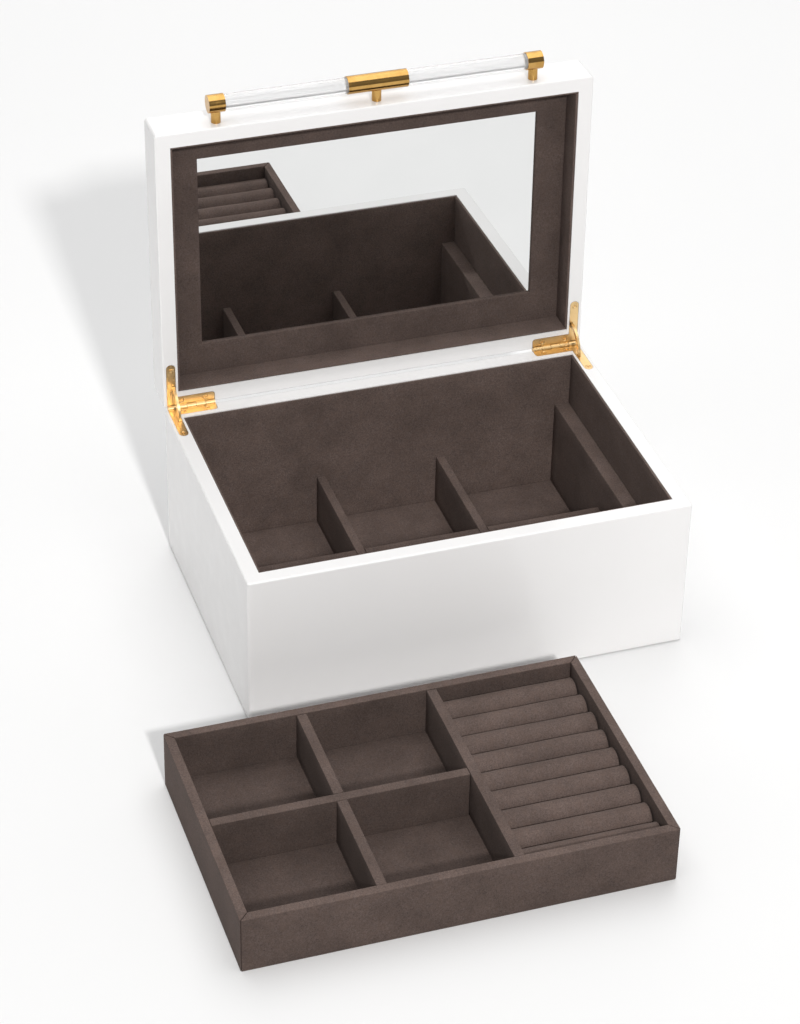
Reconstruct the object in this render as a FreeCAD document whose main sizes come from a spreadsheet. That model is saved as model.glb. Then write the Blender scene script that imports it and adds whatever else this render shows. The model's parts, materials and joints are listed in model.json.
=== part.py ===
import FreeCAD, Part
import math
import os
import re

import Sketcher

# A jewellery box: a lacquered box with a lined compartment floor, a lid with a mirror and a bar
# handle, two quadrant hinges with sliding stays, and a lift-out tray with ring rolls.
# Frame: the origin is at the centre of the box's underside, +X to the right, +Y to the rear and
# +Z up.  The lid's pieces are drawn closed and then turned open about the hinge axis, and the
# tray's pieces are drawn about the tray's own centre and then set down in front of the box.

DIMENSIONS = {
    # Box, outside and walls
    "box_width": 301,
    "box_depth": 206,
    "rim_height": 111,
    "side_wall": 10.3,
    "front_wall": 10,
    "rear_wall": 11.7,
    "corner_radius": 2.4,
    "edge_fillet": 1.1,
    "felt_thickness": 1.2,
    "felt_inset": 2,
    "bottom_board": 4.3,
    # Lining boards, tray ledges and dividers inside the box
    "lining": 1.5,
    "lining_drop": 0.4,
    "ledge_width": 10.5,
    "ledge_top": 72.4,
    "divider": 6,
    "divider_top": 44.6,
    "cross_divider_x": 43.7,
    "lengthwise_divider_y": -3,
    "lap_gap": 0.1,
    # Lid, its recess and the mirror
    "lid_gap": 0.4,
    "lid_height": 27,
    "lid_panel": 5,
    "recess_depth": 18,
    "mirror_width": 236,
    "mirror_length": 140,
    "mirror_y": -2.5,
    "mirror_sunk": 1.8,
    "mirror_lap": 4,
    "mirror_gap": 0.2,
    "open_angle": 91,
    # Quadrant hinges: leaves, knuckles and pin
    "axis_setback": 0.5,
    "leaf": 2.2,
    "leaf_inset": 2.5,
    "leg_width": 6,
    "leg_reach": 34,
    "rear_leg_span": 33,
    "rear_leg_reach": 8.2,
    "leaf_corner": 2,
    "leaf_fit": 0.05,
    "leaf_margin": 0.25,
    "knuckle_radius": 2.2,
    "knuckle_count": 5,
    "knuckle_gap": 0.3,
    "knuckle_clearance": 0.3,
    "knuckle_weld": 0.5,
    "pin_radius": 1,
    "pin_fit": 0.05,
    # Hinge stays, which slide through both leaves about the hinge axis
    "stay_radius": 15.4,
    "stay_width": 3.2,
    "stay_thickness": 1.6,
    "stay_offset": 1.3,
    "stay_overlap": 14.6,
    "stay_head": 2.3,
    "stay_head_angle": 4,
    "slot_fit": 0.15,
    "slot_length": 4.1,
    "slot_shift": 0.1,
    "mortise_width": 2.8,
    "mortise_front": 17.6,
    "mortise_rear": 6.6,
    "mortise_depth": 15.2,
    # Countersunk wood screws of the hinges
    "screw_head": 1.75,
    "screw_sunk": 0.25,
    "screw_shank": 0.8,
    "screw_length": 8,
    "screw_fit": 0.1,
    "cross_width": 0.55,
    "cross_length": 2.3,
    "cross_depth": 0.5,
    "leg_screw": 3.4,
    "rear_screw_near": 9.5,
    "rear_screw_far": 26.2,
    "rear_screw_reach": 5.4,
    # Bar handle on the lid's front
    "handle_x": 1.4,
    "handle_rise": 8.5,
    "handle_standoff": 13.3,
    "handle_half_span": 108.7,
    "post_radius": 3.2,
    "cap_radius": 6,
    "cap_length": 10.9,
    "cap_end": 2,
    "collar_length": 41,
    "rod_radius": 5.3,
    "rod_fit": 0.05,
    "handle_screw_head": 3.2,
    "handle_screw_head_depth": 1.8,
    "handle_screw_shank": 1.9,
    "handle_screw_grip": 5,
    "handle_screw_fit": 0.1,
    # Lift-out tray
    "tray_width": 274.5,
    "tray_depth": 176.8,
    "tray_height": 40.6,
    "tray_x": -80.5,
    "tray_y": -234.1,
    "tray_wall": 6,
    "tray_edge": 0.6,
    "tray_foot": 0.6,
    "tray_floor_top": 7,
    "tray_divider": 6.6,
    "tray_divider_drop": 0.4,
    "tray_left_divider_x": -49.4,
    "tray_right_divider_x": 36.6,
    "roll_count": 9,
    "roll_gap": 0.3,
    "roll_top": 33.4,
    "roll_end_gap": 1,
    # How far a cutting piece runs past the face it opens
    "overcut": 1,
}

# Slack allowed where two worked-out lengths are compared, in millimetres
SAME = 1e-6

document = FreeCAD.newDocument("jewellery_box")
sheet = document.addObject("Spreadsheet::Sheet", "dims")
for row, (alias, size) in enumerate(DIMENSIONS.items(), start=1):
    sheet.set(f"A{row}", alias)
    sheet.set(f"B{row}", str(size))
    sheet.setAlias(f"B{row}", alias)
document.recompute()

PLUS_X = FreeCAD.Vector(1, 0, 0)
PLUS_Z = FreeCAD.Vector(0, 0, 1)
ALONG_X = FreeCAD.Rotation(FreeCAD.Vector(0, 1, 0), 90)
ALONG_Y = FreeCAD.Rotation(FreeCAD.Vector(1, 0, 0), -90)
CYCLED = FreeCAD.Rotation(FreeCAD.Vector(1, 1, 1), 120)  # turns X to Y, Y to Z and Z to X

# Places that several pieces share, as formulas in the sheet's names
HALF_WIDTH = "box_width/2"
HALF_DEPTH = "box_depth/2"
INNER_X = f"({HALF_WIDTH} - side_wall)"
INNER_FRONT = f"(front_wall - {HALF_DEPTH})"
INNER_REAR = f"({HALF_DEPTH} - rear_wall)"
LINED_X = f"({INNER_X} - lining)"
LINED_FRONT = f"({INNER_FRONT} + lining)"
LINED_REAR = f"({INNER_REAR} - lining)"
FLOOR_BOTTOM = "(felt_thickness + bottom_board)"
FLOOR_TOP = f"({FLOOR_BOTTOM} + lining)"
LEDGE_X = f"({LINED_X} - ledge_width)"
HINGE_Y = f"({HALF_DEPTH} + axis_setback)"
HINGE_Z = "(rim_height + lid_gap/2)"
LID_BOTTOM = "(rim_height + lid_gap)"
LID_TOP = f"({LID_BOTTOM} + lid_height)"
RECESS_TOP = f"({LID_BOTTOM} + recess_depth)"
PANEL_BOTTOM = f"({LID_TOP} - lid_panel)"
TRAY_INNER_X = "(tray_width/2 - tray_wall)"
TRAY_INNER_Y = "(tray_depth/2 - tray_wall)"
TRAY_DIVIDER_TOP = "(tray_height - tray_divider_drop)"

# How far each turned group of pieces is turned about the hinge axis from where it is drawn
STAY_SWEEP = "(open_angle + 2*stay_overlap)"
TURNS = {
    "lid": "(-open_angle)",
    "stay": "(180 - open_angle - stay_overlap)",
    "stay_far_end": f"({STAY_SWEEP} - stay_head_angle)",
}

subparts = []


def bound(formula):
    """Write a formula in the sheet's names as a FreeCAD expression."""
    return re.sub(r"[a-z_]+", lambda word: f"dims.{word[0]}" if word[0] in DIMENSIONS else word[0], formula)


def value(formula):
    """Work out a formula in the sheet's names, in millimetres."""
    return float(sheet.evalExpression(bound(formula)))


def place(piece, group="box", x="0", y="0", z="0"):
    """Bind a piece's Placement: where it is drawn, and how its group of pieces is moved."""
    turn = TURNS.get(group)
    if group == "tray":
        x, y = f"{x} + tray_x", f"{y} + tray_y"
    piece.setExpression("Placement.Base.x", bound(x))
    if turn is None:
        piece.setExpression("Placement.Base.y", bound(y))
        piece.setExpression("Placement.Base.z", bound(z))
        return piece
    rear, up = f"({y} - {HINGE_Y})", f"({z} - {HINGE_Z})"
    cosine, sine = f"cos({turn} * 1deg)", f"sin({turn} * 1deg)"
    piece.Placement = FreeCAD.Placement(FreeCAD.Vector(), FreeCAD.Rotation(PLUS_X, value(turn)))
    piece.setExpression("Placement.Rotation.Angle", bound(turn))
    piece.setExpression("Placement.Base.y", bound(f"{HINGE_Y} + {rear}*{cosine} - {up}*{sine}"))
    piece.setExpression("Placement.Base.z", bound(f"{HINGE_Z} + {rear}*{sine} + {up}*{cosine}"))
    return piece


def subpart(label, piece):
    """Name a finished sub-part."""
    piece.Label = label
    subparts.append(piece)
    return piece


def box(name, group, low, high):
    """A Part::Box between two corners given as formulas."""
    piece = document.addObject("Part::Box", name)
    for size, start, end in zip(("Length", "Width", "Height"), low, high):
        piece.setExpression(size, bound(f"({end}) - ({start})"))
    return place(piece, group, *low)


def cylinder(name, rotation, start, radius, length, radius_end=None):
    """A Part::Cylinder, or a Part::Cone where the end's radius is given."""
    kind = "Part::Cylinder" if radius_end is None else "Part::Cone"
    piece = document.addObject(kind, name)
    piece.Placement = FreeCAD.Placement(FreeCAD.Vector(), rotation)
    for axis, formula in zip("xyz", start):
        piece.setExpression(f"Placement.Base.{axis}", bound(formula))
    piece.setExpression("Height", bound(length))
    if radius_end is None:
        piece.setExpression("Radius", bound(radius))
    else:
        piece.setExpression("Radius1", bound(radius))
        piece.setExpression("Radius2", bound(radius_end))
    return piece


def cut(name, base, tool, group="box"):
    """Take one piece's shape away from another's."""
    piece = document.addObject("Part::Cut", name)
    piece.Base = base
    piece.Tool = tool
    return place(piece, group)


def union(name, shapes, group="box"):
    """Fuse pieces into one solid."""
    piece = document.addObject("Part::MultiFuse", name)
    piece.Shapes = shapes
    return place(piece, group)


def together(name, shapes, group="box"):
    """Keep several solids in one piece without fusing them."""
    piece = document.addObject("Part::Compound", name)
    piece.Links = shapes
    return place(piece, group)


def mirrored(name, source, normal, group="box"):
    """A piece's mirror image in the box's middle plane or in the hinge axis's level."""
    piece = document.addObject("Part::Mirroring", name)
    piece.Source = source
    piece.Normal = normal
    if normal == PLUS_Z:
        piece.setExpression("Base.z", bound(HINGE_Z))
    return place(piece, group)


def fix(sketch, edge, point, axis, formula):
    """Bind one coordinate of a sketch point to a formula."""
    size = value(formula)
    if abs(size) < SAME:
        sketch.addConstraint(Sketcher.Constraint("PointOnObject", edge, point, -2 if axis == "X" else -1))
        return
    constraint = Sketcher.Constraint("Distance" + axis, -1, 1, edge, point, size)
    number = sketch.addConstraint(constraint)
    sketch.setExpression(f"Constraints[{number}]", bound(formula))


def draw(sketch, outline):
    """Draw a closed counter-clockwise outline of (x, y) corners.

    A corner written (x, y, centre x, centre y) is joined to the next one by an arc, and any other
    corner by a straight line.  Every coordinate is bound to its formula.
    """
    corners = [FreeCAD.Vector(value(corner[0]), value(corner[1]), 0) for corner in outline]
    for number, corner in enumerate(outline):
        start, end = corners[number], corners[(number + 1) % len(corners)]
        if len(corner) == 2:
            sketch.addGeometry(Part.LineSegment(start, end), False)
            continue
        centre = FreeCAD.Vector(value(corner[2]), value(corner[3]), 0)
        circle = Part.Circle(centre, PLUS_Z, (start - centre).Length)
        first = math.atan2(start.y - centre.y, start.x - centre.x)
        last = math.atan2(end.y - centre.y, end.x - centre.x)
        sketch.addGeometry(Part.ArcOfCircle(circle, first, last + (2*math.pi if last < first else 0)), False)
    for number, corner in enumerate(outline):
        sketch.addConstraint(Sketcher.Constraint("Coincident", number, 2, (number + 1) % len(outline), 1))
        if len(corner) == 4:
            fix(sketch, number, 3, "X", corner[2])
            fix(sketch, number, 3, "Y", corner[3])
        before = outline[number - 1]
        if len(before) == 2:
            fix(sketch, number, 1, "X", corner[0])
            fix(sketch, number, 1, "Y", corner[1])
            continue
        # The end of an arc already lies on its circle, so only its steeper coordinate is bound.
        out = corners[number] - FreeCAD.Vector(value(before[2]), value(before[3]), 0)
        if abs(out.y) > abs(out.x):
            fix(sketch, number, 1, "X", corner[0])
        else:
            fix(sketch, number, 1, "Y", corner[1])


def prism(name, plane, outline, length):
    """A PartDesign body: an outline on one of the body's own planes, padded to a length."""
    body = document.addObject("PartDesign::Body", name)
    sketch = body.newObject("Sketcher::SketchObject", f"{name}_outline")
    support = next(item for item in body.Origin.OriginFeatures if item.Role == plane)
    sketch.AttachmentSupport = (support, [""])
    sketch.MapMode = "FlatFace"
    draw(sketch, outline)
    pad = body.newObject("PartDesign::Pad", f"{name}_pad")
    pad.Profile = sketch
    pad.setExpression("Length", bound(length))
    return body


def round_outer_edges(body, level):
    """Fillet the edges of a wall's top or bottom that follow the outside of the box."""
    document.recompute()
    pad = body.Tip
    height = value(level)
    half_width, half_depth = value(HALF_WIDTH), value(HALF_DEPTH)
    corner_reach = value("corner_radius")/2
    names = []
    for number, edge in enumerate(pad.Shape.Edges, start=1):
        middle = edge.valueAt((edge.FirstParameter + edge.LastParameter)/2)
        inside = min(half_width - abs(middle.x), half_depth - abs(middle.y))
        if abs(middle.z - height) < SAME and inside < corner_reach:
            names.append(f"Edge{number}")
    fillet = body.newObject("PartDesign::Fillet", f"{body.Name}_rounding_{len(body.Group)}")
    fillet.Base = (pad, names)
    fillet.setExpression("Radius", bound("edge_fillet"))


# Walls of a rectangular frame: the box's walls, the lid's rails and the tray's walls

def turned(side, along, inward):
    """A plan position of one side's wall, drawn as if it were the front wall."""
    if side == "front":
        return along, inward
    if side == "right":
        return f"-({inward})", along
    if side == "rear":
        return f"-({along})", f"-({inward})"
    return inward, f"-({along})"


def wall_outline(side, half_length, half_across, thickness, mitre, radius):
    """Plan of one wall: rounded outer corners, mitred ends, and a butt step where it is thicker."""
    corner = f"({radius})*(1 - sqrt(0.5))"
    outside = f"-({half_across})"
    rows = [
        (f"-({half_length}) + {corner}", f"{outside} + {corner}"),
        (f"-({half_length}) + {radius}", outside),
        (f"({half_length}) - {radius}", outside),
        (f"({half_length}) - {corner}", f"{outside} + {corner}"),
        (f"({half_length}) - {mitre}", f"{outside} + {mitre}"),
        (f"({half_length}) - {mitre}", f"{outside} + {thickness}"),
        (f"-({half_length}) + {mitre}", f"{outside} + {thickness}"),
        (f"-({half_length}) + {mitre}", f"{outside} + {mitre}"),
    ]
    if abs(value(thickness) - value(mitre)) < SAME:
        del rows[7], rows[4]
    points = [turned(side, *row) for row in rows]
    round_centre = f"{outside} + {radius}"
    points[0] += turned(side, f"-({half_length}) + {radius}", round_centre)
    points[2] += turned(side, f"({half_length}) - {radius}", round_centre)
    return points


def frame_wall(name, side, width, depth, thickness, mitre, radius, height):
    """One mitred wall of a frame, standing on z = 0 of its own body."""
    half_length, half_across = f"{width}/2", f"{depth}/2"
    if side in ("left", "right"):
        half_length, half_across = half_across, half_length
    outline = wall_outline(side, half_length, half_across, thickness, mitre, radius)
    return prism(name, "XY_Plane", outline, height)


SIDES = {"front": "front_wall", "rear": "rear_wall", "left": "side_wall", "right": "side_wall"}


# Hinges: one set of left-hand pieces at the box's rim, mirrored to the right and to the lid

LEAF_OUTER_X = f"(leaf_inset - {HALF_WIDTH})"
LEG_INNER_X = f"({LEAF_OUTER_X} + leg_width)"
LEG_MIDDLE_X = f"({LEAF_OUTER_X} + leg_width/2)"
REAR_LEG_END_X = f"({LEAF_OUTER_X} + rear_leg_span)"
LEG_ROUND_Y = f"({HINGE_Y} - leg_reach + leg_width/2)"
REAR_LEG_Y = f"({HINGE_Y} - rear_leg_reach)"
LEAF_REAR_Y = f"({HINGE_Y} - knuckle_radius - knuckle_clearance)"
LEAF_BOTTOM = "(rim_height - leaf)"
STAY_X = f"({LEG_MIDDLE_X} + stay_offset)"
SCREW_PLACES = [
    (LEG_MIDDLE_X, f"({HINGE_Y} - leg_reach + leg_screw)"),
    (f"({LEAF_OUTER_X} + rear_screw_near)", f"({HINGE_Y} - rear_screw_reach)"),
    (f"({LEAF_OUTER_X} + rear_screw_far)", f"({HINGE_Y} - rear_screw_reach)"),
]
DOWNWARDS = FreeCAD.Rotation(PLUS_X, 180)


def screw_shape(name, x, y, top, head_radius, fit):
    """A shank below a head that tapers at 45 degrees, both larger than the screw by the fit."""
    head_depth = f"({head_radius} - screw_shank)"
    head = cylinder(f"{name}_head", DOWNWARDS, (x, y, top), f"{head_radius} + {fit}", head_depth,
                    f"screw_shank + {fit}")
    shank = cylinder(f"{name}_shank", DOWNWARDS, (x, y, f"{top} - {head_depth}"),
                     f"screw_shank + {fit}", f"screw_length + {fit}")
    return union(name, [head, shank])


def screw_hole(name, x, y, fit):
    """A countersunk hole through the leaf and into the wood, deep enough to sink the head."""
    return screw_shape(name, x, y, "rim_height", "(screw_head + screw_sunk)", fit)


def wood_screw(name, x, y):
    """A countersunk screw with a cross recess, its head a little below the leaf's face."""
    body = screw_shape(f"{name}_body", x, y, "(rim_height - screw_sunk)", "screw_head", "0")
    arms = []
    for arm, (half_x, half_y) in enumerate([("cross_length/2", "cross_width/2"),
                                            ("cross_width/2", "cross_length/2")]):
        arms.append(box(f"{name}_recess_{arm}", "box",
                        (f"{x} - {half_x}", f"{y} - {half_y}", "rim_height - screw_sunk - cross_depth"),
                        (f"{x} + {half_x}", f"{y} + {half_y}", "rim_height")))
    return cut(name, body, union(f"{name}_recess", arms))


def leaf_outline(margin, rear):
    """Plan of a leaf as far as a line at its rear, made larger all round by a margin."""
    corner_x, corner_y = f"({REAR_LEG_END_X} - leaf_corner)", f"({REAR_LEG_Y} + leaf_corner)"
    left, right = f"{LEAF_OUTER_X} - {margin}", f"{REAR_LEG_END_X} + {margin}"
    return [
        (left, LEG_ROUND_Y, LEG_MIDDLE_X, LEG_ROUND_Y),
        (f"{LEG_INNER_X} + {margin}", LEG_ROUND_Y),
        (f"{LEG_INNER_X} + {margin}", f"{REAR_LEG_Y} - {margin}"),
        (corner_x, f"{REAR_LEG_Y} - {margin}", corner_x, corner_y),
        (right, corner_y),
        (right, rear),
        (left, rear),
    ]


def hinge_recess():
    """The wood removed for one leaf, its screws and the stay."""
    seat_level = f"({LEAF_BOTTOM} - leaf_fit)"
    outline = leaf_outline("leaf_margin", f"{HALF_DEPTH} + overcut")
    seat = place(prism("recess_seat", "XY_Plane", outline, f"rim_height + overcut - {seat_level}"),
                 z=seat_level)
    mortise = box("recess_mortise", "box",
                  (f"{STAY_X} - mortise_width/2", f"{HINGE_Y} - mortise_front", f"{HINGE_Z} - mortise_depth"),
                  (f"{STAY_X} + mortise_width/2", f"{HINGE_Y} - mortise_rear", "rim_height"))
    holes = [screw_hole(f"recess_hole_{number}", x, y, "screw_fit/2")
             for number, (x, y) in enumerate(SCREW_PLACES)]
    return union("box_left_recess", [seat, mortise] + holes)


def leaf_plate():
    """The flat L of a leaf, with the stay's slot and the countersunk holes."""
    plate = place(prism("leaf_plate", "XY_Plane", leaf_outline("0", LEAF_REAR_Y), "leaf"), z=LEAF_BOTTOM)
    half_slot = "(stay_thickness/2 + slot_fit)"
    slot_y = f"({HINGE_Y} - stay_radius + slot_shift)"
    slot = box("leaf_slot", "box",
               (f"{STAY_X} - {half_slot}", f"{slot_y} - slot_length/2", f"{LEAF_BOTTOM} - overcut"),
               (f"{STAY_X} + {half_slot}", f"{slot_y} + slot_length/2", "rim_height + overcut"))
    holes = [screw_hole(f"leaf_hole_{number}", x, y, "screw_fit")
             for number, (x, y) in enumerate(SCREW_PLACES)]
    return cut("slotted_plate", plate, union("leaf_openings", [slot] + holes))


def knuckle(number):
    """One knuckle of the hinge, with the web that joins it to its leaf below the axis."""
    pitch = "rear_leg_span/knuckle_count"
    start = f"({LEAF_OUTER_X} + {number}*{pitch} + knuckle_gap/2)"
    length = f"({pitch} - knuckle_gap)"
    barrel = cylinder(f"knuckle_{number}_barrel", ALONG_X, (start, HINGE_Y, HINGE_Z), "knuckle_radius", length)
    web = box(f"knuckle_{number}_web", "box",
              (start, f"{LEAF_REAR_Y} - knuckle_weld", LEAF_BOTTOM),
              (f"{start} + {length}", HINGE_Y, "rim_height"))
    return union(f"knuckle_{number}", [barrel, web])


def ring_sector(name, angle, thickness):
    """Part of a flat ring about the hinge axis, from angle 0 to an angle in degrees."""
    start = (f"{STAY_X} - {thickness}/2", HINGE_Y, HINGE_Z)
    outer = cylinder(f"{name}_outer", CYCLED, start, "stay_radius + stay_width/2", thickness)
    outer.setExpression("Angle", bound(angle))
    inner = cylinder(f"{name}_inner", CYCLED, start, "stay_radius - stay_width/2", thickness)
    return cut(name, outer, inner)


def hinge_stay():
    """A quarter-ring stay about the hinge axis with a thicker head at each end, drawn from angle 0."""
    strip = ring_sector("stay_strip", STAY_SWEEP, "stay_thickness")
    head = ring_sector("stay_head", "stay_head_angle", "stay_head")
    far_head = together("stay_far_head", [head], "stay_far_end")
    return union("left_stay_shape", [strip, head, far_head])


recess = hinge_recess()
recesses = {("box", "left"): recess}
recesses["box", "right"] = mirrored("box_right_recess", recess, PLUS_X)
recesses["lid", "left"] = mirrored("lid_left_recess", recess, PLUS_Z)
recesses["lid", "right"] = mirrored("lid_right_recess", recesses["lid", "left"], PLUS_X)
both_recesses = {level: union(f"{level}_recesses", [recesses[level, "left"], recesses[level, "right"]])
                 for level in ("box", "lid")}


def recess_for(level, side):
    """The hinge recesses that reach into one wall."""
    return both_recesses[level] if side == "rear" else recesses[level, side]


# Box

def box_walls():
    """Four mitred walls with a rounded rim, let in for the hinges at the rear corners."""
    for side, thickness in SIDES.items():
        name = f"box_{side}_wall"
        height = "rim_height - felt_thickness"
        wall = frame_wall(f"{name}_blank", side, "box_width", "box_depth", thickness, "side_wall",
                          "corner_radius", height)
        round_outer_edges(wall, height)
        place(wall, z="felt_thickness")
        if side != "front":
            wall = cut(name, wall, recess_for("box", side))
        subpart(name, wall)


def box_inside():
    """Bottom board, felt foot, lining boards, ledges for the tray and dividers."""
    subpart("felt_foot", box("felt_foot", "box",
                             (f"felt_inset - {HALF_WIDTH}", f"felt_inset - {HALF_DEPTH}", "0"),
                             (f"{HALF_WIDTH} - felt_inset", f"{HALF_DEPTH} - felt_inset", "felt_thickness")))
    subpart("box_bottom_board", box("box_bottom_board", "box",
                                    (f"-{INNER_X}", INNER_FRONT, "felt_thickness"),
                                    (INNER_X, INNER_REAR, FLOOR_BOTTOM)))
    subpart("box_floor_lining", box("box_floor_lining", "box",
                                    (f"-{INNER_X}", INNER_FRONT, FLOOR_BOTTOM),
                                    (INNER_X, INNER_REAR, FLOOR_TOP)))
    for name, low, high in lining_strips():
        subpart(f"box_{name}_lining", box(f"box_{name}_lining", "box",
                                          low + (FLOOR_TOP,), high + ("rim_height - lining_drop",)))
    for name, low, high in (("left", f"-{LINED_X}", f"-{LEDGE_X}"), ("right", LEDGE_X, LINED_X)):
        subpart(f"{name}_tray_ledge", box(f"{name}_tray_ledge", "box",
                                          (low, LINED_FRONT, FLOOR_TOP), (high, LINED_REAR, "ledge_top")))


def lining_strips():
    """Plan corners of four lining boards that butt together inside the walls."""
    return [
        ("front", (f"-{INNER_X}", INNER_FRONT), (INNER_X, LINED_FRONT)),
        ("rear", (f"-{INNER_X}", LINED_REAR), (INNER_X, INNER_REAR)),
        ("left", (f"-{INNER_X}", LINED_FRONT), (f"-{LINED_X}", LINED_REAR)),
        ("right", (LINED_X, LINED_FRONT), (INNER_X, LINED_REAR)),
    ]


def box_dividers():
    """Two dividers from front to rear, halved together with one that runs the length of the box."""
    middle = f"({FLOOR_TOP} + divider_top)/2"
    long_blank = box("lengthwise_divider_blank", "box",
                     (f"-{LEDGE_X}", "lengthwise_divider_y - divider/2", FLOOR_TOP),
                     (LEDGE_X, "lengthwise_divider_y + divider/2", "divider_top"))
    notches = []
    for name, centre in (("left", "-cross_divider_x"), ("right", "cross_divider_x")):
        blank = box(f"{name}_cross_divider_blank", "box",
                    (f"{centre} - divider/2", LINED_FRONT, FLOOR_TOP),
                    (f"{centre} + divider/2", LINED_REAR, "divider_top"))
        notch = box(f"{name}_cross_divider_notch", "box",
                    (f"{centre} - divider", "lengthwise_divider_y - divider/2 - lap_gap",
                     f"{FLOOR_TOP} - overcut"),
                    (f"{centre} + divider", "lengthwise_divider_y + divider/2 + lap_gap", middle))
        subpart(f"{name}_cross_divider", cut(f"{name}_cross_divider", blank, notch))
        notches.append(box(f"lengthwise_notch_{name}", "box",
                           (f"{centre} - divider/2 - lap_gap", "lengthwise_divider_y - divider", middle),
                           (f"{centre} + divider/2 + lap_gap", "lengthwise_divider_y + divider",
                            "divider_top + overcut")))
    subpart("lengthwise_divider", cut("lengthwise_divider", long_blank, union("lengthwise_notches", notches)))


# Lid

def lid_rails():
    """Four mitred rails with rounded outer edges and a panel let in between them."""
    for side, thickness in SIDES.items():
        name = f"lid_{side}_rail"
        rail = frame_wall(f"{name}_blank", side, "box_width", "box_depth", thickness, "side_wall",
                          "corner_radius", "lid_height")
        round_outer_edges(rail, "lid_height")
        round_outer_edges(rail, "0")
        place(rail, z=LID_BOTTOM)
        tool = handle_bores() if side == "front" else recess_for("lid", side)
        subpart(name, cut(name, rail, tool, "lid"))
    subpart("lid_top_panel", box("lid_top_panel", "lid",
                                 (f"-{INNER_X}", INNER_FRONT, PANEL_BOTTOM), (INNER_X, INNER_REAR, LID_TOP)))


def lid_inside():
    """Lining strips around the recess, and the padded frame that holds the mirror."""
    for name, low, high in lining_strips():
        subpart(f"lid_{name}_lining", box(f"lid_{name}_lining", "lid",
                                          low + (f"{LID_BOTTOM} + lining_drop",), high + (RECESS_TOP,)))
    half_width, half_length = "mirror_width/2", "mirror_length/2"
    blank = box("mirror_frame_blank", "box", (f"-{INNER_X}", INNER_FRONT, RECESS_TOP),
                (INNER_X, INNER_REAR, PANEL_BOTTOM))
    window = box("mirror_frame_window", "box",
                 (f"-{half_width}", f"mirror_y - {half_length}", f"{RECESS_TOP} - overcut"),
                 (half_width, f"mirror_y + {half_length}", f"{PANEL_BOTTOM} + overcut"))
    mirror_x, mirror_y = f"({half_width} + mirror_lap)", f"({half_length} + mirror_lap)"
    mirror_front = f"{RECESS_TOP} + mirror_sunk"
    rebate = box("mirror_frame_rebate", "box",
                 (f"-{mirror_x} - mirror_gap", f"mirror_y - {mirror_y} - mirror_gap", mirror_front),
                 (f"{mirror_x} + mirror_gap", f"mirror_y + {mirror_y} + mirror_gap",
                  f"{PANEL_BOTTOM} + overcut"))
    subpart("mirror_frame", cut("mirror_frame", blank, union("mirror_frame_openings", [window, rebate]), "lid"))
    subpart("mirror", box("mirror", "lid", (f"-{mirror_x}", f"mirror_y - {mirror_y}", mirror_front),
                          (mirror_x, f"mirror_y + {mirror_y}", PANEL_BOTTOM)))


# Handle: posts with caps and a collar on a clear rod, screwed on from inside the lid's front rail

HANDLE_Y = f"(-{HALF_DEPTH} - handle_standoff)"
HANDLE_Z = f"({LID_BOTTOM} + handle_rise)"
RAIL_BACK = f"({INNER_FRONT} - handle_screw_head_depth - handle_screw_fit)"
POST_PLACES = {
    "left": "handle_x - handle_half_span",
    "centre": "handle_x",
    "right": "handle_x + handle_half_span",
}


def handle_bores():
    """Clearance bores and counterbores for the three handle screws."""
    tools = []
    for name, x in POST_PLACES.items():
        tools.append(cylinder(f"{name}_post_bore", ALONG_Y, (x, f"-{HALF_DEPTH} - overcut", HANDLE_Z),
                              "handle_screw_shank + handle_screw_fit", "front_wall + 2*overcut"))
        tools.append(cylinder(f"{name}_post_counterbore", ALONG_Y, (x, RAIL_BACK, HANDLE_Z),
                              "handle_screw_head + handle_screw_fit", "front_wall"))
    return union("handle_bores", tools)


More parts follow.
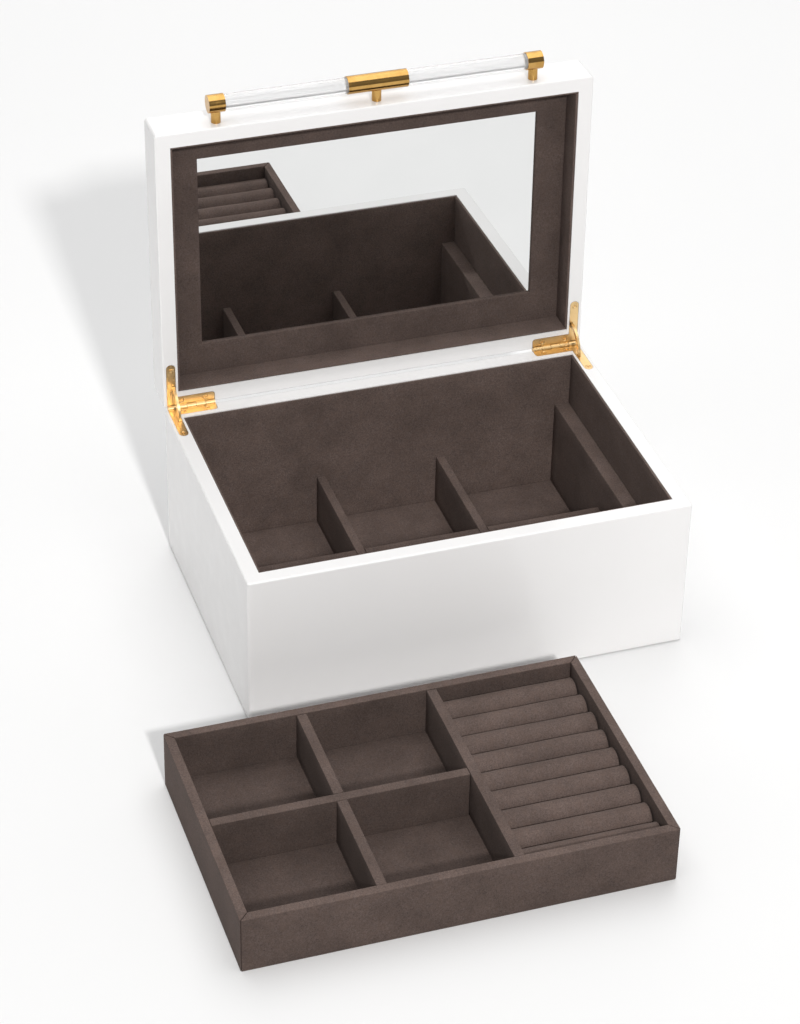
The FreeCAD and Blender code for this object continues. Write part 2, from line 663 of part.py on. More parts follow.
def handle():
    """Three posts, two end caps, the centre collar, the clear rod and the screws."""
    posts, screws = [], []
    for name, x in POST_PLACES.items():
        post = cylinder(f"{name}_post_blank", ALONG_Y, (x, HANDLE_Y, HANDLE_Z), "post_radius",
                        "handle_standoff")
        saddle = cylinder(f"{name}_post_saddle", ALONG_X, (f"{x} - cap_radius", HANDLE_Y, HANDLE_Z),
                          "cap_radius", "2*cap_radius")
        thread = cylinder(f"{name}_post_thread", ALONG_Y,
                          (x, f"-{HALF_DEPTH} - handle_screw_grip - handle_screw_fit", HANDLE_Z),
                          "handle_screw_shank + screw_fit", "handle_screw_grip + overcut")
        posts.append(cut(f"{name}_post", post, union(f"{name}_post_openings", [saddle, thread])))
        head = cylinder(f"{name}_handle_screw_head", ALONG_Y, (x, f"{RAIL_BACK} + handle_screw_fit/2", HANDLE_Z),
                        "handle_screw_head", "handle_screw_head_depth")
        shank = cylinder(f"{name}_handle_screw_shank", ALONG_Y,
                         (x, f"-{HALF_DEPTH} - handle_screw_grip", HANDLE_Z), "handle_screw_shank",
                         "handle_screw_grip + front_wall - handle_screw_head_depth")
        screws.append(union(f"{name}_handle_screw", [head, shank]))
    subpart("handle_posts", together("handle_posts", posts, "lid"))
    subpart("handle_screws", together("handle_screws", screws, "lid"))
    bore = "rod_radius + rod_fit"
    for name, opening in (("left", "cap_end"), ("right", "-overcut")):
        end = f"{POST_PLACES[name]} - cap_length/2"
        shell = cylinder(f"{name}_cap_shell", ALONG_X, (end, HANDLE_Y, HANDLE_Z), "cap_radius", "cap_length")
        hollow = cylinder(f"{name}_cap_bore", ALONG_X, (f"{end} + {opening}", HANDLE_Y, HANDLE_Z), bore,
                          "cap_length - cap_end + overcut")
        subpart(f"handle_{name}_cap", cut(f"handle_{name}_cap", shell, hollow, "lid"))
    shell = cylinder("collar_shell", ALONG_X, ("handle_x - collar_length/2", HANDLE_Y, HANDLE_Z), "cap_radius",
                     "collar_length")
    hollow = cylinder("collar_bore", ALONG_X, ("handle_x - collar_length/2 - overcut", HANDLE_Y, HANDLE_Z),
                      bore, "collar_length + 2*overcut")
    subpart("handle_collar", cut("handle_collar", shell, hollow, "lid"))
    reach = "(handle_half_span + cap_length/2 - cap_end - rod_fit)"
    rod = cylinder("rod_blank", ALONG_X, (f"handle_x - {reach}", HANDLE_Y, HANDLE_Z), "rod_radius",
                   f"2*{reach}")
    subpart("handle_rod", together("handle_rod", [rod], "lid"))


def hinges():
    """Leaves, pins, stays and screws of both hinges."""
    plate = leaf_plate()
    pin_bore = cylinder("pin_bore", ALONG_X, (f"{LEAF_OUTER_X} - overcut", HINGE_Y, HINGE_Z),
                        "pin_radius + pin_fit", "rear_leg_span + 2*overcut")
    knuckles = [knuckle(number) for number in range(DIMENSIONS["knuckle_count"])]
    box_leaf = cut("left_box_leaf_shape", union("left_box_leaf_solid", [plate] + knuckles[0::2]), pin_bore)
    lid_leaf_solid = union("left_lid_leaf_solid", [plate] + knuckles[1::2])
    lid_leaf = mirrored("left_lid_leaf_shape", cut("left_lid_leaf_bored", lid_leaf_solid, pin_bore), PLUS_Z)
    pin = cylinder("left_pin", ALONG_X, (LEAF_OUTER_X, HINGE_Y, HINGE_Z), "pin_radius", "rear_leg_span")
    screws = together("left_screws", [wood_screw(f"hinge_screw_{number}", x, y)
                                      for number, (x, y) in enumerate(SCREW_PLACES)])
    lid_screws = mirrored("left_lid_screws", screws, PLUS_Z)
    stay = hinge_stay()
    subpart("left_hinge_box_leaf", together("left_hinge_box_leaf", [box_leaf]))
    subpart("right_hinge_box_leaf", mirrored("right_hinge_box_leaf", box_leaf, PLUS_X))
    subpart("left_hinge_lid_leaf", together("left_hinge_lid_leaf", [lid_leaf], "lid"))
    subpart("right_hinge_lid_leaf", mirrored("right_hinge_lid_leaf", lid_leaf, PLUS_X, "lid"))
    subpart("left_hinge_stay", together("left_hinge_stay", [stay], "stay"))
    subpart("right_hinge_stay", mirrored("right_hinge_stay", stay, PLUS_X, "stay"))
    subpart("hinge_pins", together("hinge_pins", [pin, mirrored("right_pin", pin, PLUS_X)]))
    subpart("hinge_box_screws", together("hinge_box_screws",
                                         [screws, mirrored("right_screws", screws, PLUS_X)]))
    subpart("hinge_lid_screws", together("hinge_lid_screws",
                                         [lid_screws, mirrored("right_lid_screws", lid_screws, PLUS_X)],
                                         "lid"))


# Tray

def tray():
    """Mitred walls, floor and halved dividers of the lift-out tray."""
    for side in SIDES:
        name = f"tray_{side}_wall"
        wall = frame_wall(name, side, "tray_width", "tray_depth", "tray_wall", "tray_wall", "tray_edge",
                          "tray_height")
        subpart(name, place(wall, "tray"))
    subpart("tray_floor", box("tray_floor", "tray", (f"-{TRAY_INNER_X}", f"-{TRAY_INNER_Y}", "tray_foot"),
                              (TRAY_INNER_X, TRAY_INNER_Y, "tray_floor_top")))
    middle = f"(tray_floor_top + {TRAY_DIVIDER_TOP})/2"
    left, half = "tray_left_divider_x", "tray_divider/2"
    blank = box("tray_left_divider_blank", "box", (f"{left} - {half}", f"-{TRAY_INNER_Y}", "tray_floor_top"),
                (f"{left} + {half}", TRAY_INNER_Y, TRAY_DIVIDER_TOP))
    notch = box("tray_left_divider_notch", "box", (f"{left} - tray_divider", f"-{half} - lap_gap", middle),
                (f"{left} + tray_divider", f"{half} + lap_gap", f"{TRAY_DIVIDER_TOP} + overcut"))
    subpart("tray_left_divider", cut("tray_left_divider", blank, notch, "tray"))
    subpart("tray_right_divider", box("tray_right_divider", "tray",
                                      (f"tray_right_divider_x - {half}", f"-{TRAY_INNER_Y}", "tray_floor_top"),
                                      (f"tray_right_divider_x + {half}", TRAY_INNER_Y, TRAY_DIVIDER_TOP)))
    blank = box("tray_cross_divider_blank", "box", (f"-{TRAY_INNER_X}", f"-{half}", "tray_floor_top"),
                (f"tray_right_divider_x - {half}", half, TRAY_DIVIDER_TOP))
    notch = box("tray_cross_divider_notch", "box",
                (f"{left} - {half} - lap_gap", "-tray_divider", "tray_floor_top - overcut"),
                (f"{left} + {half} + lap_gap", "tray_divider", middle))
    subpart("tray_cross_divider", cut("tray_cross_divider", blank, notch, "tray"))


def ring_rolls():
    """A row of round-topped rolls, side by side from the front of the tray to the rear."""
    pitch = f"(2*{TRAY_INNER_Y}/roll_count)"
    half = f"({pitch} - roll_gap)/2"
    centre_height = f"(roll_top - {half})"
    outline = [
        (f"-{half}", "tray_floor_top"),
        (half, "tray_floor_top"),
        (half, centre_height, "0", centre_height),
        (f"-{half}", centre_height),
    ]
    start = "(tray_right_divider_x + tray_divider/2 + roll_gap)"
    for number in range(DIMENSIONS["roll_count"]):
        name = f"ring_roll_{number + 1}"
        roll = prism(name, "YZ_Plane", outline, f"{TRAY_INNER_X} - roll_end_gap - {start}")
        subpart(name, place(roll, "tray", start, f"({number} - (roll_count - 1)/2)*{pitch}"))


box_walls()
box_inside()
box_dividers()
lid_rails()
lid_inside()
handle()
hinges()
tray()
ring_rolls()
document.recompute()

for item in document.Objects:
    if "Invalid" in item.State or "Error" in item.State:
        raise RuntimeError(f"{item.Label} could not be made: {item.State}")
for piece in subparts:
    if piece.Shape.isNull() or not piece.Shape.isValid():
        raise RuntimeError(f"{piece.Label} has no valid shape")

os.makedirs("parts", exist_ok=True)
for piece in subparts:
    piece.Shape.exportStep(f"parts/{piece.Label}.step")
print(len(subparts), "sub-parts written")
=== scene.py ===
import json
import math

import bmesh
import bpy
from mathutils import Matrix, Vector, noise


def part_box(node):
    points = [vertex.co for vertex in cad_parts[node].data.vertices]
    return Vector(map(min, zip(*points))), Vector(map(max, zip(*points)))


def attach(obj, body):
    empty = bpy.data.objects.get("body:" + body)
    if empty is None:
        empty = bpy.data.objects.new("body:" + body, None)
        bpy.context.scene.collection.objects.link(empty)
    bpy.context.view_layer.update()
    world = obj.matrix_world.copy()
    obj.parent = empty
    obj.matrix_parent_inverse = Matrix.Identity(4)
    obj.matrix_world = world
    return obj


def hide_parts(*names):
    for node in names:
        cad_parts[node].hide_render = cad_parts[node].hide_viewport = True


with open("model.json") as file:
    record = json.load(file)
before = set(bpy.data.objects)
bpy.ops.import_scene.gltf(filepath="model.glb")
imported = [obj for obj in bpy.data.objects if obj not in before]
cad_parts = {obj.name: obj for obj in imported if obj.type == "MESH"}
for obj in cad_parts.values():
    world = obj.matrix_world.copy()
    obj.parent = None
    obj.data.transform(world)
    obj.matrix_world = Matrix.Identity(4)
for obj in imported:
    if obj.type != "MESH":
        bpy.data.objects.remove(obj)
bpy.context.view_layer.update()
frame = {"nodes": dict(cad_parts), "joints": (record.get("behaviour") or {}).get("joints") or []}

MM = 0.001
NODES = frame["nodes"]

# How tightly the fabric folds over the edges of each kind of board
FOLD = {
    "felt": 0.4 * MM,
    "lining": 0.4 * MM,
    "tray_wall": 0.45 * MM,
    "tray_divider": 0.5 * MM,
    "floor": 0.5 * MM,
    "divider": 0.7 * MM,
    "mirror_window": 0.8 * MM,
}
CROSSING_GAP = 0.2 * MM  # left between a divider and one that crosses it

# For each side of the tray, the direction along its wall and the direction outwards
TO_SIDE = {
    "front": (Vector((1, 0, 0)), Vector((0, -1, 0))),
    "right": (Vector((0, 1, 0)), Vector((1, 0, 0))),
    "rear": (Vector((-1, 0, 0)), Vector((0, 1, 0))),
    "left": (Vector((0, -1, 0)), Vector((-1, 0, 0))),
}


# ---------------------------------------------------------------- camera and light

def make_camera():
    """The photograph's viewpoint: a long lens, from the left and above."""
    place = Vector((-0.55396, -1.57582, 1.24909))
    azimuth, down, roll = math.radians(18.860), math.radians(35.317), math.radians(1.260)
    level = Vector((math.cos(azimuth), -math.sin(azimuth), 0))
    heading = Vector((math.sin(azimuth), math.cos(azimuth), 0))
    forward = heading * math.cos(down) - Vector((0, 0, math.sin(down)))
    upright = level.cross(forward)
    right = level * math.cos(roll) + upright * math.sin(roll)
    up = upright * math.cos(roll) - level * math.sin(roll)
    turn = Matrix((right, up, -forward)).transposed()
    data = bpy.data.cameras.new("camera")
    data.lens = 107.09
    data.sensor_width = 36
    data.clip_start, data.clip_end = 0.05, 60
    camera = bpy.data.objects.new("camera", data)
    camera.matrix_world = Matrix.Translation(place) @ turn.to_4x4()
    bpy.context.scene.collection.objects.link(camera)
    bpy.context.scene.camera = camera


def area_light(name, place, target, size, radiance, colour=(1, 1, 1)):
    """A square softbox that gives the same brightness per area whatever its size."""
    data = bpy.data.lights.new(name, "AREA")
    data.shape = "SQUARE"
    data.size = size
    data.energy = radiance * math.pi * size * size
    data.color = colour
    lamp = bpy.data.objects.new(name, data)
    aim = (Vector(target) - Vector(place)).to_track_quat("-Z", "Y")
    lamp.matrix_world = Matrix.Translation(place) @ aim.to_matrix().to_4x4()
    bpy.context.scene.collection.objects.link(lamp)


def light_studio():
    """White surroundings, softboxes above, left and behind, and a key light from the front."""
    scene = bpy.context.scene
    scene.view_settings.view_transform = "Standard"
    world = bpy.data.worlds.new("studio")
    world.use_nodes = True
    world.node_tree.nodes["Background"].inputs["Color"].default_value = (1, 1, 1, 1)
    world.node_tree.nodes["Background"].inputs["Strength"].default_value = 0.2
    scene.world = world
    target = (0, -0.05, 0.1)
    area_light("overhead_softbox", (0.1, 0.35, 3.4), target, size=4.0, radiance=1.75)
    area_light("left_softbox", (-3.4, 0.1, 0.8), target, size=1.6, radiance=0.9,
               colour=(1, 0.98, 0.965))
    area_light("rear_reflector", (0.9, 2.6, 1.9), target, size=2.5, radiance=1.3)
    area_light("key_light", (-0.3, -4.86, 3.6), target, size=0.32, radiance=660.0,
               colour=(1, 0.99, 0.98))


# ---------------------------------------------------------------- materials

class Recipe:
    """A node material under construction: a Principled shader with patterns wired into it."""

    def __init__(self, name):
        self.material = bpy.data.materials.new(name)
        self.material.use_nodes = True
        self.tree = self.material.node_tree
        self.shader = self.tree.nodes["Principled BSDF"]
        self.coordinates = self.tree.nodes.new("ShaderNodeTexCoord").outputs["Object"]

    def set(self, **values):
        """Constants set straight on the shader's sockets."""
        for name, value in values.items():
            self.shader.inputs[name.replace("_", " ")].default_value = value

    def stretched(self, scale):
        node = self.tree.nodes.new("ShaderNodeMapping")
        node.inputs["Scale"].default_value = scale
        self.tree.links.new(self.coordinates, node.inputs["Vector"])
        return node.outputs["Vector"]

    def noise(self, scale, detail=2, roughness=0.5, stretch=None, distortion=0):
        node = self.tree.nodes.new("ShaderNodeTexNoise")
        node.inputs["Scale"].default_value = scale
        node.inputs["Detail"].default_value = detail
        node.inputs["Roughness"].default_value = roughness
        node.inputs["Distortion"].default_value = distortion
        source = self.stretched(stretch) if stretch else self.coordinates
        self.tree.links.new(source, node.inputs["Vector"])
        return node.outputs["Fac"]

    def spread(self, value, low, high, to_low=0, to_high=1):
        """A pattern's range from low to high, spread over another range and held at its ends."""
        node = self.tree.nodes.new("ShaderNodeMapRange")
        node.inputs["From Min"].default_value = low
        node.inputs["From Max"].default_value = high
        node.inputs["To Min"].default_value = to_low
        node.inputs["To Max"].default_value = to_high
        self.tree.links.new(value, node.inputs["Value"])
        return node.outputs["Result"]

    def math(self, operation, first, second):
        node = self.tree.nodes.new("ShaderNodeMath")
        node.operation = operation
        for socket, value in zip(node.inputs, (first, second)):
            if isinstance(value, (int, float)):
                socket.default_value = value
            else:
                self.tree.links.new(value, socket)
        return node.outputs["Value"]

    def between(self, share, first, second):
        """A colour mixed from two by a pattern's share of the second."""
        node = self.tree.nodes.new("ShaderNodeMix")
        node.data_type = "RGBA"
        self.tree.links.new(share, node.inputs["Factor"])
        for name, value in (("A_Color", first), ("B_Color", second)):
            socket = next(s for s in node.inputs if s.identifier == name)
            if isinstance(value, tuple):
                socket.default_value = (*value, 1)
            else:
                self.tree.links.new(value, socket)
        return next(s for s in node.outputs if s.identifier == "Result_Color")

    def colour(self, value):
        self.tree.links.new(value, self.shader.inputs["Base Color"])

    def roughness(self, value):
        self.tree.links.new(value, self.shader.inputs["Roughness"])

    def bump(self, *layers):
        """layers are (height, strength, depth in metres), the coarsest first."""
        last = None
        for height, strength, depth in layers:
            node = self.tree.nodes.new("ShaderNodeBump")
            node.inputs["Strength"].default_value = strength
            node.inputs["Distance"].default_value = depth
            self.tree.links.new(height, node.inputs["Height"])
            if last:
                self.tree.links.new(last, node.inputs["Normal"])
            last = node.outputs["Normal"]
        self.tree.links.new(last, self.shader.inputs["Normal"])


def suede(name, tone, rim_highlight_height=None):
    """Short-napped faux suede: an even speckle of tufts over a soft mottle, with a painted highlight
    just under a given rim height.
    """
    made = Recipe(name)
    base = [c * tone for c in (0.118, 0.088, 0.078)]
    tufts = made.noise(1050, 2, 0.6, distortion=0.6)
    fine = made.noise(2300, 1, 0.5)
    brushed = made.noise(210, 3, 0.55, stretch=(1.0, 0.55, 1.0), distortion=1.5)
    mottle = made.noise(38, 4, 0.6)
    light = tuple(c * 1.42 for c in base)
    dark = tuple(c * 0.66 for c in base)
    warm = (base[0] * 1.12, base[1] * 1.03, base[2] * 0.95)
    grain = made.math("ADD", made.math("MULTIPLY", tufts, 0.6), made.math("MULTIPLY", fine, 0.4))
    nap = made.between(made.spread(grain, 0.34, 0.66), dark, light)
    drift = made.between(made.spread(brushed, 0.36, 0.66, 0.0, 0.45), nap, warm)
    shade = made.spread(mottle, 0.32, 0.68, 0.84, 1.14)
    brightness = made.tree.nodes.new("ShaderNodeHueSaturation")
    # Painted highlight: the top millimetre below this height, where the tops of the walls catch the
    # light, is drawn up to 1.35 times brighter.
    if rim_highlight_height is not None:
        level = made.tree.nodes.new("ShaderNodeSeparateXYZ")
        made.tree.links.new(made.coordinates, level.inputs["Vector"])
        start, end = rim_highlight_height - 1.0 * MM, rim_highlight_height - 0.2 * MM
        rim_highlight = made.spread(level.outputs["Z"], start, end, 1.0, 1.35)
        shade = made.math("MULTIPLY", shade, rim_highlight)
    made.tree.links.new(shade, brightness.inputs["Value"])
    made.tree.links.new(drift, brightness.inputs["Color"])
    made.colour(brightness.outputs["Color"])
    made.roughness(made.spread(mottle, 0.3, 0.7, 0.84, 0.97))
    made.set(Sheen_Weight=0.1, Sheen_Roughness=0.4, Sheen_Tint=(0.85, 0.72, 0.66, 1))
    made.set(Specular_IOR_Level=0.1)
    made.bump((mottle, 0.2, 0.0004), (tufts, 0.5, 0.00012), (fine, 0.4, 0.00006))
    return made.material


def lacquer():
    """Sprayed gloss lacquer: faint unevenness under a clear coat."""
    made = Recipe("white_lacquer_gloss")
    broad = made.noise(14, 2, 0.5)
    peel = made.noise(420, 2, 0.5)
    drift = made.spread(broad, 0.35, 0.65)
    made.colour(made.between(drift, (0.852, 0.844, 0.84), (0.864, 0.856, 0.853)))
    made.roughness(made.spread(made.noise(60, 3, 0.6), 0.3, 0.7, 0.16, 0.24))
    made.set(Coat_Weight=0.25, Coat_Roughness=0.05, Specular_IOR_Level=0.35)
    made.bump((peel, 0.05, 0.00002))
    return made.material


def brass(name, clean, tarnished, satin):
    """Gold plate with faint turning marks and a little tarnish; satin is its least roughness."""
    made = Recipe(name)
    tarnish = made.noise(130, 4, 0.6)
    marks = made.noise(1.0, 2, 0.5, stretch=(4200, 160, 160))
    made.colour(made.between(made.spread(tarnish, 0.4, 0.72), clean, tarnished))
    made.roughness(made.spread(tarnish, 0.35, 0.7, satin, satin + 0.09))
    made.set(Metallic=1.0, Specular_IOR_Level=0.5)
    made.bump((marks, 0.03, 0.00004))
    return made.material


def steel():
    """Zinc plate with a fine uneven grain."""
    made = Recipe("zinc_plated_steel")
    grain = made.noise(700, 3, 0.6)
    made.colour(made.between(made.spread(grain, 0.35, 0.7), (0.62, 0.62, 0.61), (0.5, 0.5, 0.5)))
    made.roughness(made.spread(grain, 0.3, 0.7, 0.25, 0.42))
    made.set(Metallic=1.0)
    made.bump((grain, 0.15, 0.00004))
    return made.material


def acrylic():
    """Slightly milky polished rod with almost invisible extrusion lines."""
    made = Recipe("clear_acrylic_rod")
    lines = made.noise(1.0, 2, 0.5, stretch=(12, 900, 900))
    made.colour(made.between(made.spread(lines, 0.4, 0.6), (0.93, 0.93, 0.93), (0.96, 0.96, 0.96)))
    made.roughness(made.spread(lines, 0.3, 0.7, 0.03, 0.07))
    made.set(Transmission_Weight=0.72, IOR=1.49)
    made.bump((lines, 0.004, 0.00004))
    return made.material


def silvered_glass():
    """Mirror with a trace of haze."""
    made = Recipe("silvered_mirror")
    haze = made.noise(24, 3, 0.5)
    made.colour(made.between(made.spread(haze, 0.35, 0.65), (0.795, 0.803, 0.801), (0.81, 0.817, 0.815)))
    made.roughness(made.spread(haze, 0.35, 0.65, 0.0, 0.006))
    made.set(Metallic=1.0)
    return made.material


def felt():
    """Dark pressed felt."""
    made = Recipe("pressed_felt")
    fibres = made.noise(900, 4, 0.7, distortion=1.2)
    tufts = made.spread(fibres, 0.35, 0.65)
    made.colour(made.between(tufts, (0.035, 0.029, 0.027), (0.085, 0.072, 0.066)))
    made.roughness(made.spread(fibres, 0.3, 0.7, 0.9, 1.0))
    made.set(Sheen_Weight=0.3, Sheen_Roughness=0.6)
    made.bump((fibres, 0.8, 0.0003))
    return made.material


def fibreboard():
    """Bare board under the lacquer and the linings."""
    made = Recipe("bare_fibreboard")
    chips = made.noise(650, 5, 0.7)
    made.colour(made.between(made.spread(chips, 0.35, 0.65), (0.38, 0.27, 0.17), (0.52, 0.39, 0.26)))
    made.roughness(made.spread(chips, 0.3, 0.7, 0.75, 0.9))
    made.bump((chips, 0.5, 0.0002))
    return made.material


def paper_floor():
    """Pale matt paper under the object."""
    made = Recipe("studio_floor")
    broad = made.noise(1.5, 2, 0.5)
    made.colour(made.between(made.spread(broad, 0.35, 0.65), (0.82, 0.82, 0.82), (0.83, 0.83, 0.83)))
    made.roughness(made.spread(broad, 0.3, 0.7, 0.7, 0.8))
    made.set(Specular_IOR_Level=0.15)
    return made.material


# ---------------------------------------------------------------- meshes

def piece_from(name, vertices, faces, body, slot, material, replaced, sharp=50):
    """A piece that rides on a body and stands for the CAD nodes it replaces."""
    mesh = bpy.data.meshes.new(name)
    mesh.from_pydata([tuple(v) for v in vertices], [], faces)
    made = bmesh.new()
    made.from_mesh(mesh)
    bmesh.ops.remove_doubles(made, verts=made.verts, dist=1e-7)
    bmesh.ops.recalc_face_normals(made, faces=made.faces)
    made.to_mesh(mesh)
    made.free()
    mesh.shade_smooth()
    mesh.set_sharp_from_angle(angle=math.radians(sharp))
    mesh.materials.append(material)
    piece = bpy.data.objects.new(name, mesh)
    bpy.context.scene.collection.objects.link(piece)
    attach(piece, body)
    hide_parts(*replaced)
    return piece


def ticks(low, high, radius, cell):
    """Grid lines across a padded side: close together round its two edges, even between them."""
    near = [radius * (1 - math.cos(math.radians(a))) for a in (0, 30, 60)]
    count = max(1, round((high - low - 2 * radius) / cell))
    middle = [low + radius + (high - low - 2 * radius) * i / count for i in range(count + 1)]
    return [low + d for d in near] + middle + [high - d for d in reversed(near)]


def padded_shell(low, high, radius, cell=7 * MM, ripple=0.05 * MM, seed=0):
    """Vertices and faces of a closed block with rounded edges and a faintly uneven surface.

    The surface only sinks below the block's faces, by up to twice the ripple.
    """
    axes = [ticks(low[i], high[i], radius, cell) for i in range(3)]
    vertices, faces, index = [], [], {}

    def vertex(i, j, k):
        key = (i, j, k)
        if key not in index:
            point = Vector((axes[0][i], axes[1][j], axes[2][k]))
            core = Vector([min(max(point[n], low[n] + radius), high[n] - radius) for n in range(3)])
            away = point - core
            outward = away.normalized() if away.length > 0 else Vector((0, 0, 1))
            lift = ripple * noise.noise(point * 60 + Vector((seed * 7.3, seed * 3.1, 0)))
            index[key] = len(vertices)
            vertices.append(core + outward * (radius + lift - ripple))
        return index[key]

    spans = [len(a) - 1 for a in axes]
    for fixed in range(3):
        across, up = [n for n in range(3) if n != fixed]
        for end in (0, spans[fixed]):
            for i in range(spans[across]):
                for j in range(spans[up]):
                    corners = []
                    for di, dj in ((0, 0), (1, 0), (1, 1), (0, 1)):
                        at = [0, 0, 0]
                        at[fixed], at[across], at[up] = end, i + di, j + dj
                        corners.append(vertex(*at))
                    faces.append(corners)
    return vertices, faces


def join_shells(shells):
    """Several shells as one list of vertices and one of faces."""
    vertices, faces = [], []
    for more_vertices, more_faces in shells:
        start = len(vertices)
        vertices += more_vertices
        faces += [[start + i for i in face] for face in more_faces]
    return vertices, faces


def mitred_board(side, low, high, radius, gap=0.1 * MM, seed=0, ripple=0.06 * MM):
    """A wrapped board whose two ends are cut at 45 degrees towards the inner face."""
    along, outward = TO_SIDE[side]
    centre = (low + high) / 2
    half = Vector([abs(along[i]) * (high[i] - low[i]) / 2 for i in range(3)]).length
    thick = Vector([abs(outward[i]) * (high[i] - low[i]) / 2 for i in range(3)]).length
    vertices, faces = padded_shell(low, high, radius, seed=seed, ripple=ripple)
    for vertex in vertices:
        s = (vertex - centre).dot(along)
        inward = thick - (vertex - centre).dot(outward)
        vertex += along * (s * (half - inward - gap) / half - s)
    return vertices, faces


# ---------------------------------------------------------------- wrapped boards and linings

def lid_leaning():
    """The turn about the hinge axis that leans the lid back from upright to where it stands open."""
    faces = NODES["mirror"].data.polygons
    front = max(faces, key=lambda face: -face.normal.y * face.area)
    hinge = next(joint for joint in frame["joints"] if joint["name"] == "lid_hinge")
    lean = math.atan2(-front.normal.z, -front.normal.y)
    axis = Matrix.Translation(Vector(hinge["pos_m"]))
    return axis @ Matrix.Rotation(lean, 4, "X") @ axis.inverted()


def upright_box(name):
    """A lid part's lowest and highest corners once the lid is stood upright."""
    upright = LID_LEAN.inverted()
    points = [upright @ vertex.co for vertex in NODES[name].data.vertices]
    return (Vector([min(p[i] for p in points) for i in range(3)]),
            Vector([max(p[i] for p in points) for i in range(3)]))


def leaned(vertices):
    """Turns points of an upright lid to where the lid stands open."""
    return [LID_LEAN @ vertex for vertex in vertices]


def wrap(names, body, slot, material, radius, shrink=(0, 0, 0), ripple=0.05 * MM):
    """Puts fabric-wrapped boards in place of plain ones, smaller at each end by shrink, in mm."""
    for seed, name in enumerate(names):
        low, high = upright_box(name) if body == "lid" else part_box(name)
        inset = Vector(shrink) * MM
        vertices, faces = padded_shell(low + inset, high - inset, radius, seed=seed, ripple=ripple)
        if body == "lid":
            vertices = leaned(vertices)
        piece_from(f"{name}_wrapped", vertices, faces, body, slot, material, [name])


def interrupted(name, axis, crossing, body, slot, material, radius):
    """A wrapped divider in lengths that stop at each divider that crosses it."""
    low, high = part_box(name)
    stops = [low[axis]]
    for other in crossing:
        stops += [face[axis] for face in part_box(other)]
    stops.append(high[axis])
    shells = []
    for seed, (start, end) in enumerate(zip(stops[0::2], stops[1::2])):
        first, last = Vector(low), Vector(high)
        first[axis], last[axis] = start + CROSSING_GAP, end - CROSSING_GAP
        shells.append(padded_shell(first, last, radius, seed=seed + 5))
    piece_from(f"{name}_wrapped", *join_shells(shells), body, slot, material, [name])


def make_tray():
    """Four mitred walls, a floor and three dividers, all wrapped in suede."""
    look = ("tray", "tray_suede", TRAY)
    for seed, side in enumerate(("front", "rear", "left", "right")):
        name = f"tray_{side}_wall"
        shell = mitred_board(side, *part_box(name), FOLD["tray_wall"], seed=seed)
        piece_from(f"{name}_wrapped", *shell, *look, [name])
    wrap(["tray_floor"], *look, FOLD["floor"], (0.15, 0.15, 0))
    wrap(["tray_right_divider"], *look, FOLD["tray_divider"], (0, 0.2, 0))
    wrap(["tray_cross_divider"], *look, FOLD["tray_divider"], (0.2, 0, 0))
    interrupted("tray_left_divider", 1, ["tray_cross_divider"], *look, FOLD["tray_divider"])


def make_box_inside():
    """Lining boards, tray ledges, floor and dividers of the box."""
    look = ("box", "lining_suede", LINING)
    wrap(["box_front_lining", "box_rear_lining"], *look, FOLD["lining"], (0.1, 0.05, 0))
    wrap(["box_left_lining", "box_right_lining"], *look, FOLD["lining"], (0.05, 0.1, 0))
    wrap(["left_tray_ledge", "right_tray_ledge"], *look, FOLD["divider"], (0, 0.2, 0))
    wrap(["box_floor_lining"], *look, FOLD["floor"], (0.1, 0.1, 0))
    crossing = ["left_cross_divider", "right_cross_divider"]
    wrap(crossing, *look, FOLD["divider"], (0, 0.2, 0))
    interrupted("lengthwise_divider", 0, crossing, *look, FOLD["divider"])
    wrap(["felt_foot"], "box", "felt", FELT, FOLD["felt"], ripple=0.12 * MM)


def make_lid_inside():
    """Lining of the lid's recess and the padded frame round the mirror."""
    linings = ("lid", "lining_suede", LINING, FOLD["lining"])
    wrap(["lid_front_lining", "lid_rear_lining"], *linings, (0, 0, 0.05))
    wrap(["lid_left_lining", "lid_right_lining"], *linings, (0, 0, 0.1))
    low, high = upright_box("mirror_frame")
    glass_low, glass_high = upright_box("mirror")
    lap = 4 * MM  # how far the glass runs behind the frame
    window_low, window_high = glass_low + Vector((lap, 0, lap)), glass_high - Vector((lap, 0, lap))
    front, back = low.y, glass_low.y
    outer = [(low.x, low.z), (high.x, low.z), (high.x, high.z), (low.x, high.z)]
    inner = [(window_low.x, window_low.z), (window_high.x, window_low.z),
             (window_high.x, window_high.z), (window_low.x, window_high.z)]
    fold = FOLD["mirror_window"]
    turns = [math.radians(angle) for angle in (0, 22.5, 45, 67.5, 90)]
    # Across the board from the window's edge: how far outside the window, and how deep
    profile = [(fold * (1 - math.sin(turn)), front + fold * (1 - math.cos(turn))) for turn in turns]
    rings = [[Vector((x, front, z)) for x, z in outer]]
    for inset, depth in profile + [(0, back)]:
        ring = []
        for (out_x, out_z), (in_x, in_z) in zip(outer, inner):
            outwards = inset if out_z > in_z else -inset
            ring.append(Vector((in_x + math.copysign(inset, out_x), depth, in_z + outwards)))
        rings.append(ring)
    rings.append([Vector((x, back, z)) for x, z in outer])
    sides = [frame_side([(ring[i], ring[(i + 1) % 4]) for ring in rings]) for i in range(4)]
    # The frame's suede is a darker copy of the lining suede: painted shade on its faces turned to the
    # front.
    piece_from("mirror_frame_wrapped", *join_shells(sides), "lid", "lining_suede", FRAME_SUEDE_PAINTED_SHADE,
               ["mirror_frame"], sharp=40)


def frame_side(edges, steps=30, ripple=0.05 * MM):
    """One side of the mirror's frame between its mitres, from the edges that run along it."""
    vertices = []
    for step in range(steps + 1):
        for start, end in edges:
            point = start.lerp(end, step / steps)
            vertices.append(point + Vector((0, -ripple * noise.noise(point * 70), 0)))
    return leaned(vertices), tube_faces(steps, len(edges))


